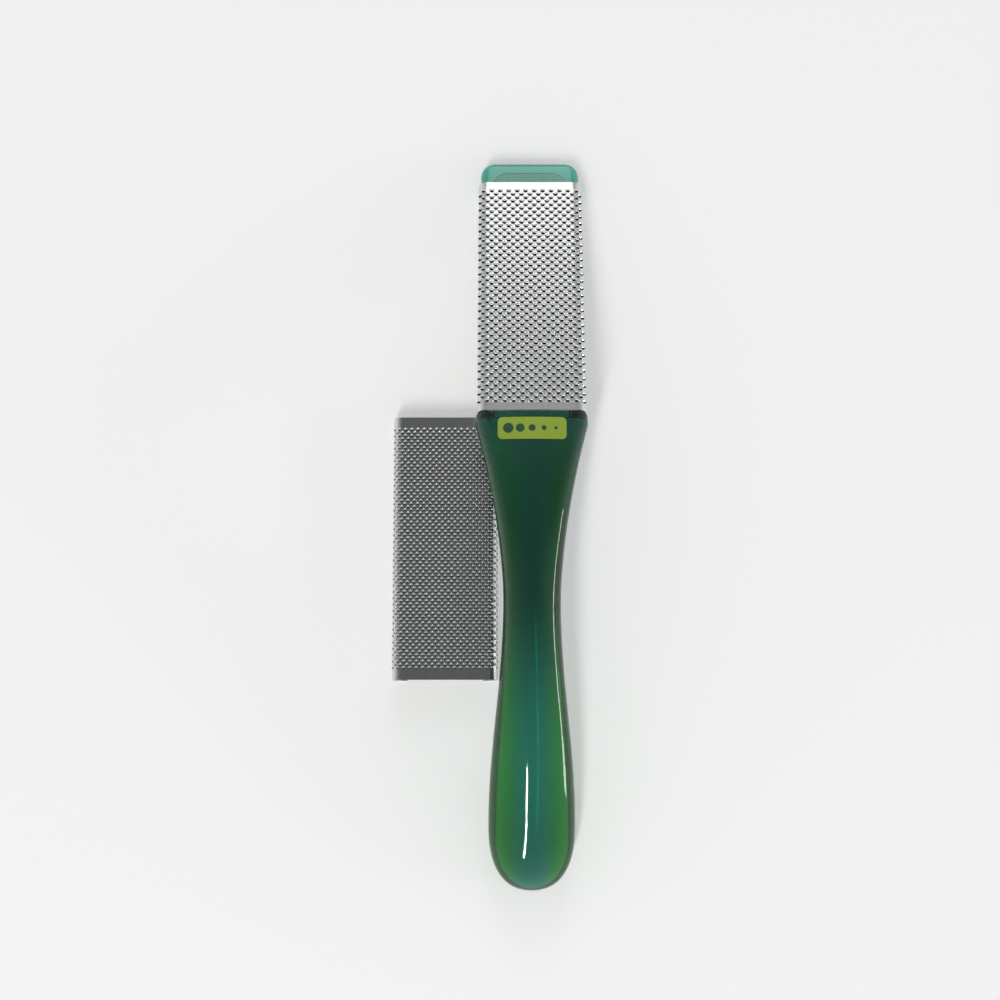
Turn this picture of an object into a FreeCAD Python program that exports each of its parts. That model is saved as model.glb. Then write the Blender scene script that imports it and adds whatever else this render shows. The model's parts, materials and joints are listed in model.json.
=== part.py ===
"""Flat foot file: a bent plastic handle, a coarse rasp plate on its head and a loose fine plate beside it.

Millimetres, +Z up. The file lies rasp side up on its tip and its bulb, with +Y from the bulb to the tip.
The origin is on the table, under the middle of the set.

The handle and the plates are drawn in the head's own frame: X across, Y from the shoulder to the tip and
Z out of the toothed face, with the middle of the head's thickness at Z = 0.
"""
import FreeCAD, Part
import math
import os
from types import SimpleNamespace

import Sketcher
from FreeCAD import Placement, Rotation, Vector

DIMENSIONS = {
    # Both rasp plates are folded from the same blank.
    "plate_length": 60.0,
    "plate_width": 24.0,
    "plate_depth": 5.6,
    "sheet_gauge": 0.4,
    "fold_radius": 2.0,
    "lip_reach": 3.4,
    # Their teeth stop short of the folds and of the ends.
    "side_margin": 0.2,
    "end_margin": 3.4,
    "punch_depth": 0.25,
    "coarse_pitch": 1.94,
    "coarse_rise": 0.5,
    "fine_pitch": 1.47,
    "fine_rise": 0.36,
    # The paddle head that the plate is pushed over, and its flat back.
    "slide_clearance": 0.15,
    "seat_gap": 0.15,
    "edge_relief": 0.3,
    "tip_reach": 6.5,
    "tip_corner": 3.3,
    "head_root": 3.0,
    "land_proud": 0.2,
    "land_setback": 1.6,
    "land_edge": 0.4,
    # The grip: a collar at the shoulder, a flare down to the neck, a swell out to the bulb and a blunt end.
    # Each section's crown is the height of its top above the round sides.
    "shoulder_overhang": 0.4,
    "shoulder_step": 0.8,
    "shoulder_crown": 0.4,
    "shoulder_edge": 0.4,
    "collar_length": 2.5,
    "flare_length": 38.5,
    "neck_width": 12.6,
    "neck_thickness": 9.6,
    "neck_crown": 0.5,
    "swell_length": 50.5,
    "bulb_width": 19.2,
    "bulb_thickness": 12.6,
    "bulb_crown": 1.7,
    "bulb_end_length": 14.5,
    # The grip leaves the head's plane in one arc and then runs straight.
    "bend_radius": 70.0,
    "bend_angle": 30.0,
    # Where the loose plate lies: its near edge, left of the handle's axis, and its end, ahead of the shoulder.
    "spare_aside": 7.4,
    "spare_ahead": 2.7,
}

# The head's core fits inside the folded plate, and its edges clear the inside of the folds.
CORE_WIDTH = "(Dims.plate_width - 2 * Dims.sheet_gauge - 2 * Dims.slide_clearance)"
CORE_THICKNESS = "(Dims.plate_depth - 2 * Dims.sheet_gauge - 2 * Dims.slide_clearance)"
CORE_EDGE = f"min(Dims.fold_radius - Dims.sheet_gauge + Dims.edge_relief; 0.45 * {CORE_THICKNESS})"

# The grip's named sections: width, thickness and crown.
SECTIONS = {
    "shoulder": (
        "Dims.plate_width + 2 * Dims.shoulder_overhang",
        "Dims.plate_depth + 2 * Dims.shoulder_step",
        "Dims.shoulder_crown",
    ),
    "neck": ("Dims.neck_width", "Dims.neck_thickness", "Dims.neck_crown"),
    "bulb": ("Dims.bulb_width", "Dims.bulb_thickness", "Dims.bulb_crown"),
}

# The grip's laws: how steeply the flare starts, how square the blunt end is, and how finely each is divided.
FLARE_POWER = 1.7
FLARE_STEPS = 7
SWELL_STEPS = 6
END_POWER = 2.4
END_STEPS = 8
END_STEP_ANGLE = 10.6

ORIGIN_POINT = (-1, 1)
H_AXIS = -1
V_AXIS = -2
START, END, CENTRE = 1, 2, 3
TOLERANCE = 1e-4


def make_dimension_sheet(doc):
    """Writes the driving dimensions to a spreadsheet and returns their values by name."""
    sheet = doc.addObject("Spreadsheet::Sheet", "Dims")
    for row, (alias, value) in enumerate(DIMENSIONS.items(), start=1):
        sheet.set(f"A{row}", alias)
        sheet.set(f"B{row}", str(value))
        sheet.setAlias(f"B{row}", alias)
    doc.recompute()
    return SimpleNamespace(**{alias: float(sheet.get(alias)) for alias in DIMENSIONS})


def new_sketch(body, name, plane, offset=Placement()):
    """Adds a sketch on one of the body's own origin planes."""
    origin_plane = next(item for item in body.Origin.OriginFeatures if item.Role == plane)
    sketch = body.newObject("Sketcher::SketchObject", name)
    sketch.AttachmentSupport = (origin_plane, [""])
    sketch.MapMode = "FlatFace"
    sketch.AttachmentOffset = offset
    return sketch


def join(sketch, kind, *pairs):
    """Adds one geometric constraint of a kind for each group of arguments."""
    for pair in pairs:
        sketch.addConstraint(Sketcher.Constraint(kind, *pair))


def drive(sketch, name, expression, kind, *arguments):
    """Adds a dimension whose value follows an expression over the sheet."""
    value = sketch.evalExpression(expression)
    index = sketch.addConstraint(Sketcher.Constraint(kind, *arguments, float(value)))
    sketch.renameConstraint(index, name)
    sketch.setExpression(f"Constraints.{name}", expression)


def line(sketch, start, end):
    """Adds a line between two (x, y) points and returns its index."""
    return sketch.addGeometry(Part.LineSegment(Vector(*start, 0), Vector(*end, 0)))


def arc(sketch, centre, radius, first, last):
    """Adds an arc, anticlockwise between two angles in radians, and returns its index."""
    circle = Part.Circle(Vector(*centre, 0), Vector(0, 0, 1), radius)
    return sketch.addGeometry(Part.ArcOfCircle(circle, first, last))


def draw_rectangle(sketch, width, height, middle):
    """Draws an upright rectangle about the V axis, from expressions for its sizes and its middle height."""
    half, tall, centre = (float(sketch.evalExpression(text)) for text in (f"({width}) / 2", height, middle))
    low, high = centre - tall / 2, centre + tall / 2
    bottom = line(sketch, (-half, low), (half, low))
    right = line(sketch, (half, low), (half, high))
    top = line(sketch, (half, high), (-half, high))
    left = line(sketch, (-half, high), (-half, low))
    sides = (bottom, right, top, left)
    join(sketch, "Coincident", *((a, END, b, START) for a, b in zip(sides, sides[1:] + sides[:1])))
    join(sketch, "Horizontal", (bottom,), (top,))
    join(sketch, "Vertical", (right,), (left,))
    drive(sketch, "right", f"({width}) / 2", "DistanceX", *ORIGIN_POINT, right, START)
    drive(sketch, "left", f"({width}) / 2", "DistanceX", left, START, *ORIGIN_POINT)
    drive(sketch, "height", height, "DistanceY", right, START, right, END)
    drive(sketch, "top", f"{middle} + ({height}) / 2", "DistanceY", *ORIGIN_POINT, right, END)


def draw_rounded_rectangle(sketch, width, height, radius):
    """Draws a centred rectangle with four equal round corners, from expressions for its sizes."""
    a, b, r = (float(sketch.evalExpression(text)) for text in (f"({width}) / 2", f"({height}) / 2", radius))
    quarter = math.pi / 2
    bottom = line(sketch, (r - a, -b), (a - r, -b))
    corner_1 = arc(sketch, (a - r, r - b), r, -quarter, 0)
    right = line(sketch, (a, r - b), (a, b - r))
    corner_2 = arc(sketch, (a - r, b - r), r, 0, quarter)
    top = line(sketch, (a - r, b), (r - a, b))
    corner_3 = arc(sketch, (r - a, b - r), r, quarter, 2 * quarter)
    left = line(sketch, (-a, b - r), (-a, r - b))
    corner_4 = arc(sketch, (r - a, r - b), r, 2 * quarter, 3 * quarter)
    loop = (bottom, corner_1, right, corner_2, top, corner_3, left, corner_4)
    join(sketch, "Tangent", *((p, END, q, START) for p, q in zip(loop, loop[1:] + loop[:1])))
    join(sketch, "Horizontal", (bottom,), (top,))
    join(sketch, "Vertical", (right,), (left,))
    join(sketch, "Equal", (corner_1, corner_2), (corner_2, corner_3), (corner_3, corner_4))
    join(sketch, "Symmetric", (bottom, START, top, START, *ORIGIN_POINT))
    drive(sketch, "radius", radius, "Radius", corner_1)
    drive(sketch, "width", width, "DistanceX", left, START, right, START)
    drive(sketch, "height", height, "DistanceY", bottom, START, top, START)


def draw_paddle(sketch, width, reach, corner, root):
    """Draws the head's plan: square at the root, round cornered at the tip."""
    expressions = (f"({width}) / 2", reach, corner, root)
    a, tip, r, back = (float(sketch.evalExpression(text)) for text in expressions)
    quarter = math.pi / 2
    bottom = line(sketch, (-a, -back), (a, -back))
    right = line(sketch, (a, -back), (a, tip - r))
    corner_1 = arc(sketch, (a - r, tip - r), r, 0, quarter)
    top = line(sketch, (a - r, tip), (r - a, tip))
    corner_2 = arc(sketch, (r - a, tip - r), r, quarter, 2 * quarter)
    left = line(sketch, (-a, tip - r), (-a, -back))
    join(sketch, "Coincident", (left, END, bottom, START), (bottom, END, right, START))
    round_end = (right, corner_1, top, corner_2, left)
    join(sketch, "Tangent", *((p, END, q, START) for p, q in zip(round_end, round_end[1:])))
    join(sketch, "Horizontal", (bottom,), (top,))
    join(sketch, "Vertical", (right,), (left,))
    join(sketch, "Equal", (corner_1, corner_2))
    drive(sketch, "corner", corner, "Radius", corner_1)
    drive(sketch, "right", f"({width}) / 2", "DistanceX", *ORIGIN_POINT, right, START)
    drive(sketch, "left", f"({width}) / 2", "DistanceX", left, END, *ORIGIN_POINT)
    drive(sketch, "root", root, "DistanceY", bottom, START, *ORIGIN_POINT)
    drive(sketch, "reach", reach, "DistanceY", *ORIGIN_POINT, top, START)


def draw_oval(sketch, width, thickness, crown):
    """Draws a crowned oval: flat arcs above and below, tangent to a tighter arc at each side."""
    side = f"({thickness}) / 2 - ({crown})"
    a, b, r = (float(sketch.evalExpression(text)) for text in (f"({width}) / 2", f"({thickness}) / 2", side))
    flat = ((a - r) ** 2 + b ** 2 - r ** 2) / (2 * (b - r))
    turn = math.atan2(flat - b, a - r)
    half = math.pi
    right_low = arc(sketch, (a - r, 0), r, -turn, 0)
    right_high = arc(sketch, (a - r, 0), r, 0, turn)
    top_right = arc(sketch, (0, b - flat), flat, turn, half / 2)
    top_left = arc(sketch, (0, b - flat), flat, half / 2, half - turn)
    left_high = arc(sketch, (r - a, 0), r, half - turn, half)
    left_low = arc(sketch, (r - a, 0), r, half, half + turn)
    bottom_left = arc(sketch, (0, flat - b), flat, half + turn, half * 3 / 2)
    bottom_right = arc(sketch, (0, flat - b), flat, half * 3 / 2, 2 * half - turn)
    join(sketch, "PointOnObject", (right_high, CENTRE, H_AXIS), (right_high, START, H_AXIS))
    join(sketch, "PointOnObject", (left_high, CENTRE, H_AXIS), (left_high, END, H_AXIS))
    join(sketch, "PointOnObject", (top_right, CENTRE, V_AXIS), (top_right, END, V_AXIS))
    join(sketch, "PointOnObject", (bottom_right, CENTRE, V_AXIS), (bottom_right, START, V_AXIS))
    join(sketch, "PointOnObject", (bottom_left, CENTRE, V_AXIS))
    join(sketch, "Tangent", (right_high, END, top_right, START), (bottom_right, END, right_low, START))
    join(sketch, "Tangent", (top_left, END, left_high, START), (left_low, END, bottom_left, START))
    join(sketch, "Coincident", (right_low, CENTRE, right_high, CENTRE), (right_low, END, right_high, START))
    join(sketch, "Coincident", (left_low, CENTRE, left_high, CENTRE), (left_low, START, left_high, END))
    join(sketch, "Coincident", (top_left, CENTRE, top_right, CENTRE), (top_left, START, top_right, END))
    join(sketch, "Coincident", (bottom_left, END, bottom_right, START))
    join(sketch, "Equal", (left_high, right_high))
    drive(sketch, "side", side, "Radius", right_high)
    drive(sketch, "reach", f"({width}) / 2", "DistanceX", *ORIGIN_POINT, right_high, START)
    drive(sketch, "top", f"({thickness}) / 2", "DistanceY", *ORIGIN_POINT, top_right, END)
    drive(sketch, "belly", f"({thickness}) / 2", "DistanceY", bottom_right, START, *ORIGIN_POINT)


def extrude(body, kind, name, sketch, length=None, reverse=False, side="One side"):
    """Pads or pockets a sketch, by an expression for the length or else through all."""
    feature = body.newObject(f"PartDesign::{kind}", name)
    feature.Profile = sketch
    feature.SideType = side
    feature.Reversed = reverse
    if length is None:
        feature.Type = "ThroughAll"
    else:
        feature.setExpression("Length", length)
    return feature


def ease_edges(body, kind, name, base, amount, wanted):
    """Fillets or chamfers the edges of a feature that a test of their boxes picks out."""
    body.Document.recompute()
    names = [f"Edge{i}" for i, edge in enumerate(base.Shape.Edges, start=1) if wanted(edge.BoundBox)]
    feature = body.newObject(f"PartDesign::{kind}", name)
    feature.Base = (base, names)
    feature.setExpression({"Fillet": "Radius", "Chamfer": "Size"}[kind], amount)


def spine_point(size, station):
    """Gives (y, z, turn) on the grip's centre line, at a distance behind the shoulder along it."""
    bend = math.radians(size.bend_angle)
    turn = min(station / size.bend_radius, bend)
    straight = station - turn * size.bend_radius
    y = -size.bend_radius * math.sin(turn) - straight * math.cos(turn)
    z = -size.bend_radius * (1 - math.cos(turn)) - straight * math.sin(turn)
    return y, z, turn


def blend(near, far, share, scale=1.0):
    """Gives a section's expressions, part way between two named ones and scaled."""
    return [
        f"(({first}) * {1 - share:.6f} + ({second}) * {share:.6f}) * {scale:.6f}"
        for first, second in zip(SECTIONS[near], SECTIONS[far])
    ]


def bulb_station(size):
    """Gives the widest point of the bulb, as a distance behind the shoulder along the grip."""
    return size.collar_length + size.flare_length + size.swell_length


def grip_stations(size):
    """Lists the grip's sections from the shoulder to the end of the bulb, each with its distance along."""
    width, thickness, crown = SECTIONS["shoulder"]
    bevelled = (f"{width} - 2 * Dims.shoulder_edge", f"{thickness} - 2 * Dims.shoulder_edge", crown)
    stations = [(0.0, bevelled), (size.shoulder_edge, SECTIONS["shoulder"])]
    for step in range(FLARE_STEPS):
        share = step / FLARE_STEPS
        taken = 1 - (1 - share) ** FLARE_POWER
        stations.append((size.collar_length + share * size.flare_length, blend("shoulder", "neck", taken)))
    neck_station = size.collar_length + size.flare_length
    for step in range(SWELL_STEPS):
        share = step / SWELL_STEPS
        taken = (1 - math.cos(math.pi * share)) / 2
        stations.append((neck_station + share * size.swell_length, blend("neck", "bulb", taken)))
    for step in range(END_STEPS + 1):
        angle = math.radians(step * END_STEP_ANGLE)
        share = math.sin(angle) ** (2 / END_POWER)
        scale = math.cos(angle) ** (2 / END_POWER)
        stations.append((bulb_station(size) + share * size.bulb_end_length, blend("bulb", "bulb", 0.0, scale)))
    return stations


def make_handle(doc, size):
    """Builds the one-piece handle: paddle head with a raised flat back, shoulder, neck and bulb."""
    body = doc.addObject("PartDesign::Body", "handle")
    reach = "Dims.plate_length + Dims.tip_reach"

    core_plan = new_sketch(body, "head_core_plan", "XY_Plane")
    draw_paddle(core_plan, CORE_WIDTH, reach, "Dims.tip_corner", "Dims.head_root")
    core = extrude(body, "Pad", "head_core", core_plan, CORE_THICKNESS, side="Symmetric")
    core_face = float(core.evalExpression(CORE_THICKNESS)) / 2

    def on_core_rim(box):
        return box.ZLength < TOLERANCE and abs(abs(box.ZMax) - core_face) < TOLERANCE and box.YMax > 0

    ease_edges(body, "Fillet", "head_core_edges", core, CORE_EDGE, on_core_rim)

    land_plan = new_sketch(body, "head_back_plan", "XY_Plane")
    land_width = "Dims.plate_width - 2 * Dims.lip_reach - 2 * Dims.slide_clearance"
    draw_paddle(land_plan, land_width, f"{reach} - Dims.land_setback", "Dims.tip_corner", "Dims.head_root")
    land_depth = "Dims.plate_depth / 2 + Dims.land_proud"
    land = extrude(body, "Pad", "head_back", land_plan, land_depth, reverse=True)
    land_face = -float(land.evalExpression(land_depth))

    def on_land_rim(box):
        return abs(box.ZMax - land_face) < TOLERANCE and box.YMax > 0

    ease_edges(body, "Chamfer", "head_back_edges", land, "Dims.land_edge", on_land_rim)

    sections = []
    for number, (station, sizes) in enumerate(grip_stations(size), start=1):
        y, z, turn = spine_point(size, station)
        offset = Placement(Vector(0, z, -y), Rotation(Vector(1, 0, 0), math.degrees(turn)))
        section = new_sketch(body, f"grip_section_{number}", "XZ_Plane", offset)
        draw_oval(section, *sizes)
        sections.append(section)
    grip = body.newObject("PartDesign::AdditiveLoft", "grip")
    grip.Profile = sections[0]
    grip.Sections = sections[1:]
    grip.Ruled = True
    return body


def tooth_lattice(width, length, pitch, rise, pit, gauge):
    """Gives the points and triangles of a closed sheet of teeth on a diamond lattice that fills a rectangle.

    Each tooth fills one diamond: two slopes rise from its tip end to a peak over its middle, and an upright
    mouth drops from there into the punched pit on the handle side. Half diamonds along the rim stay flat.
    """
    points = []
    numbers = {}
    triangles = []
    last_i = 2 * max(round(width / pitch), 1)
    last_j = 2 * max(round(length / pitch), 1)

    def point(i, j, height):
        key = (i, j, height)
        if key not in numbers:
            numbers[key] = len(points)
            points.append(Vector((i / last_i - 0.5) * width, (j / last_j - 0.5) * length, height))
        return numbers[key]

    for j in range(last_j + 1):
        for i in range(j % 2, last_i + 1, 2):
            around = [(i - 1, j), (i, j - 1), (i + 1, j), (i, j + 1)]
            inside = [(p, q) for p, q in around if 0 <= p <= last_i and 0 <= q <= last_j]
            rim = [point(p, q, 0.0) for p, q in inside]
            if len(rim) == 2:
                triangles.append((*rim, point(i, j, 0.0)))
            elif len(rim) == 3:
                triangles.append(tuple(rim))
            else:
                left, near, right, far = rim
                peak = point(i, j, rise)
                base = point(i, j, -pit)
                triangles += [(left, peak, far), (peak, right, far), (left, base, peak)]
                triangles += [(base, right, peak), (left, near, base), (near, right, base)]

    lower = [point(i, j, -gauge) for i, j in ((0, 0), (last_i, 0), (last_i, last_j), (0, last_j))]
    triangles += [(lower[0], lower[1], lower[2]), (lower[0], lower[2], lower[3])]
    along_x = [0, *range(1, last_i, 2), last_i]
    along_y = [0, *range(1, last_j, 2), last_j]
    walls = (
        ([(i, 0) for i in along_x], lower[0], lower[1]),
        ([(last_i, j) for j in along_y], lower[1], lower[2]),
        ([(i, last_j) for i in reversed(along_x)], lower[2], lower[3]),
        ([(0, j) for j in reversed(along_y)], lower[3], lower[0]),
    )
    for upper, first, second in walls:
        tops = [point(i, j, 0.0) for i, j in upper]
        triangles += [(a, b, first) for a, b in zip(tops, tops[1:])]
        triangles.append((first, second, tops[-1]))
    return points, triangles


def make_tooth_field(doc, size, grade):
    """Builds the toothed part of a plate's face as one faceted solid, level with the sheet around it."""
    pitch = getattr(size, f"{grade}_pitch")
    rise = getattr(size, f"{grade}_rise")
    width = size.plate_width - 2 * size.fold_radius - 2 * size.side_margin
    length = size.plate_length - 2 * size.end_margin
    points, triangles = tooth_lattice(width, length, pitch, rise, size.punch_depth, size.sheet_gauge)
    skin = Part.Shape()
    skin.makeShapeFromMesh((points, triangles), TOLERANCE)
    solid = Part.Solid(Part.Shell(skin.Faces))
    if solid.Volume < 0:
        solid.reverse()
    field = doc.addObject("Part::Feature", f"{grade}_teeth")
    field.Shape = solid
    field.Placement = Placement(Vector(0, size.plate_length / 2, size.plate_depth / 2), Rotation())
    return field


def make_plate(doc, size, grade):
    """Builds a rasp plate: a sheet folded to a channel with lips, and its field of punched teeth."""
    sheet = doc.addObject("PartDesign::Body", f"{grade}_sheet")
    outside = new_sketch(sheet, f"{grade}_outside", "XZ_Plane")
    draw_rounded_rectangle(outside, "Dims.plate_width", "Dims.plate_depth", "Dims.fold_radius")
    extrude(sheet, "Pad", f"{grade}_blank", outside, "Dims.plate_length", reverse=True)

    inside = new_sketch(sheet, f"{grade}_inside", "XZ_Plane")
    draw_rounded_rectangle(
        inside,
        "Dims.plate_width - 2 * Dims.sheet_gauge",
        "Dims.plate_depth - 2 * Dims.sheet_gauge",
        "Dims.fold_radius - Dims.sheet_gauge",
    )
    extrude(sheet, "Pocket", f"{grade}_hollow", inside)

    gap = new_sketch(sheet, f"{grade}_gap", "XZ_Plane")
    draw_rectangle(gap, "Dims.plate_width - 2 * Dims.lip_reach", "Dims.plate_depth", "-Dims.plate_depth / 2")
    extrude(sheet, "Pocket", f"{grade}_open_back", gap)

    window = new_sketch(sheet, f"{grade}_window", "XY_Plane")
    field_width = "Dims.plate_width - 2 * Dims.fold_radius - 2 * Dims.side_margin"
    field_length = "Dims.plate_length - 2 * Dims.end_margin"
    draw_rectangle(window, field_width, field_length, "Dims.plate_length / 2")
    extrude(sheet, "Pocket", f"{grade}_field_opening", window, reverse=True)

    plate = doc.addObject("Part::Fuse", f"{grade}_rasp_plate")
    plate.Base = sheet
    plate.Tool = make_tooth_field(doc, size, grade)
    return plate


def resting_places(doc, size):
    """Works out how the set lies on the table: the placements of the handle, the coarse and the fine plate."""
    bend = math.radians(size.bend_angle)
    dual = END_POWER / (END_POWER - 1)
    bulb_y, bulb_z, _ = spine_point(size, bulb_station(size))
    reach = size.plate_length + size.tip_reach
    rim_y = reach - size.land_setback - size.land_edge
    rim_z = -size.plate_depth / 2 - size.land_proud

    def bulb_depth(along, through):
        """Distance from the bulb's centre to the tangent of its end whose normal has these parts."""
        reach_along = (size.bulb_end_length * along) ** dual
        reach_through = (size.bulb_thickness / 2 * through) ** dual
        return (reach_along + reach_through) ** (1 / dual)

    def tip_below_bulb(tilt):
        tip = -rim_y * math.sin(tilt) + rim_z * math.cos(tilt)
        bulb = -bulb_y * math.sin(tilt) + bulb_z * math.cos(tilt)
        bulb -= bulb_depth(math.sin(bend - tilt), math.cos(bend - tilt))
        return bulb - tip

    low, high = 0.0, bend
    for _ in range(60):
        tilt = (low + high) / 2
        if tip_below_bulb(tilt) < 0:
            low = tilt
        else:
            high = tilt

    height = rim_y * math.sin(tilt) - rim_z * math.cos(tilt)
    nose, thickness = (float(doc.Dims.evalExpression(text)) for text in (CORE_EDGE, CORE_THICKNESS))
    nose_z = thickness / 2 - nose
    front = (reach - nose) * math.cos(tilt) + nose_z * math.sin(tilt) + nose
    back = bulb_y * math.cos(tilt) + bulb_z * math.sin(tilt)
    back -= bulb_depth(math.cos(bend - tilt), math.sin(bend - tilt))
    shoulder_y = -(front + back) / 2
    axis_x = (size.spare_aside + size.plate_width / 2 - size.shoulder_overhang) / 2

    lean = Rotation(Vector(1, 0, 0), -math.degrees(tilt))
    handle = Placement(Vector(axis_x, shoulder_y, height), lean)
    coarse = handle.multiply(Placement(Vector(0, size.seat_gap, 0), Rotation()))
    fine_x = axis_x - size.spare_aside - size.plate_width / 2
    fine_y = shoulder_y + size.spare_ahead - size.plate_length
    fine = Placement(Vector(fine_x, fine_y, size.plate_depth / 2), Rotation())
    print(f"head tilt {math.degrees(tilt):.3f} degrees, shoulder at {handle.Base}")
    return handle, coarse, fine


def check(doc, pieces):
    """Stops if any object failed to compute or any piece isn't one valid solid."""
    failed = [item.Label for item in doc.Objects if {"Invalid", "Error"} & set(item.State)]
    if failed:
        raise RuntimeError(f"objects that failed: {failed}")
    for piece in pieces:
        shape = piece.Shape
        if shape.isNull() or not shape.isValid() or len(shape.Solids) != 1:
            raise RuntimeError(f"{piece.Label} is not one valid solid")


def main():
    doc = FreeCAD.newDocument("foot_file")
    size = make_dimension_sheet(doc)
    pieces = [make_handle(doc, size), make_plate(doc, size, "coarse"), make_plate(doc, size, "fine")]
    for piece, place in zip(pieces, resting_places(doc, size)):
        piece.Placement = place
    doc.recompute()
    check(doc, pieces)
    os.makedirs("parts", exist_ok=True)
    for piece in pieces:
        box = piece.Shape.BoundBox
        print(f"{piece.Label}: {piece.Shape.Volume:.1f} mm3, {box}")
        piece.Shape.exportStep(f"parts/{piece.Label}.step")


main()
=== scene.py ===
"""Looks of a flat foot file: a clear turquoise handle, a coarse rasp plate on it and a loose fine plate.

Sizes are in millimetres and are turned to metres where a mesh is made. The handle and the mounted plate
are drawn in the head's own frame: X across, Y from the shoulder to the tip and Z out of the toothed face.
"""
import json
import logging
import math
from dataclasses import dataclass, field
from enum import Enum

import bpy
from mathutils import Matrix, Vector


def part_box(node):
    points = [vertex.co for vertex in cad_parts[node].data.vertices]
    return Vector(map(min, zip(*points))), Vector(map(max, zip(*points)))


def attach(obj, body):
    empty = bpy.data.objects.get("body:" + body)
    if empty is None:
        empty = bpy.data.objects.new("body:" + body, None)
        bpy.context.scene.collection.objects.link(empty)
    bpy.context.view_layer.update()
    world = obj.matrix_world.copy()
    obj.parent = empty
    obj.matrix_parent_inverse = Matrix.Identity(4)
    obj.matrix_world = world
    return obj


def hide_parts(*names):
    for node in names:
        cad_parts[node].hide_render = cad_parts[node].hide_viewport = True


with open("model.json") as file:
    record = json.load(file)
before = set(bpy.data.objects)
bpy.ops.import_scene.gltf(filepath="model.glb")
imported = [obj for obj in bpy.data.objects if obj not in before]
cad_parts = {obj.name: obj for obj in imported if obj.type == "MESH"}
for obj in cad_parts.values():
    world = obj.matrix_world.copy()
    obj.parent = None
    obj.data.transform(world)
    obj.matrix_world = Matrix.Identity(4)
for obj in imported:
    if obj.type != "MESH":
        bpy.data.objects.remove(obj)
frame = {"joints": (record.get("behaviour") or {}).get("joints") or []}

MM = 0.001
Triple = tuple[float, float, float]
log = logging.getLogger("foot_file")

# The sockets that a Mix node uses for colours.
MIX_SHARE = 0
MIX_FIRST = 6
MIX_SECOND = 7
MIX_COLOUR = 2

# A plate's unrolled sheet has a brick for each tooth, of this many cells across and along.
BRICK_ACROSS = 4
BRICK_ALONG = 2


def to_linear(colour: str) -> tuple[float, float, float, float]:
    """Turns an sRGB hex colour to linear light.

    Args:
        colour: the colour as "#RRGGBB".

    Returns:
        Linear red, green and blue, and an alpha of 1.
    """
    channels = [int(colour[start:start + 2], 16) / 255 for start in (1, 3, 5)]
    red, green, blue = (c / 12.92 if c <= 0.04045 else ((c + 0.055) / 1.055) ** 2.4 for c in channels)
    return red, green, blue, 1.0


def add_node(
    tree: bpy.types.NodeTree, kind: str, inputs: dict[str | int, object] | None = None, **settings: object
) -> bpy.types.Node:
    """Adds a shader node with its settings and links.

    Args:
        tree: the node tree that it joins.
        kind: the node's type name.
        inputs: for each input socket, a value to set or an output socket to link from.
        settings: the node's own properties.

    Returns:
        The new node.
    """
    node = tree.nodes.new(kind)
    for name, value in settings.items():
        setattr(node, name, value)
    for socket, value in (inputs or {}).items():
        if isinstance(value, bpy.types.NodeSocket):
            tree.links.new(value, node.inputs[socket])
        else:
            node.inputs[socket].default_value = value
    return node


def new_material(name: str) -> tuple[bpy.types.Material, bpy.types.NodeTree]:
    """Makes an empty node material.

    Args:
        name: the material's name.

    Returns:
        The material and its node tree.
    """
    material = bpy.data.materials.new(name)
    material.use_nodes = True
    material.node_tree.nodes.clear()
    return material, material.node_tree


@dataclass
class Skin:
    """Points and faces of one mesh, gathered in millimetres before Blender gets them."""

    points: list[Triple] = field(default_factory=list)
    faces: list[tuple[int, ...]] = field(default_factory=list)
    finishes: list[int] = field(default_factory=list)

    def point(self, x: float, y: float, z: float) -> int:
        """Adds a point and returns its number."""
        self.points.append((x, y, z))
        return len(self.points) - 1

    def face(self, *corners: int, finish: int = 0) -> None:
        """Adds a face, with the number of the material that covers it."""
        self.faces.append(corners)
        self.finishes.append(finish)

    def bridge(self, first: list[int], second: list[int], closed: bool = True) -> None:
        """Joins two rows of points with quads.

        Args:
            first: the numbers of one row.
            second: the numbers of the next row, as many.
            closed: whether each row runs round to its start.
        """
        count = len(first)
        for i in range(count if closed else count - 1):
            j = (i + 1) % count
            self.face(first[i], first[j], second[j], second[i])

    def as_object(self, name: str, place: Matrix, smooth_angle: float) -> bpy.types.Object:
        """Makes the mesh object.

        Args:
            name: the object's name.
            place: where the drawing's frame lies in the row frame, in metres.
            smooth_angle: edges that turn by more than this, in degrees, stay sharp.

        Returns:
            The object, linked to the scene, with its place in its vertices.
        """
        mesh = bpy.data.meshes.new(name)
        mesh.from_pydata([place @ (Vector(p) * MM) for p in self.points], [], self.faces)
        mesh.polygons.foreach_set("material_index", self.finishes)
        mesh.validate()
        mesh.shade_smooth()
        mesh.set_sharp_from_angle(angle=math.radians(smooth_angle))
        piece = bpy.data.objects.new(name, mesh)
        bpy.context.scene.collection.objects.link(piece)
        return piece


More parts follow.
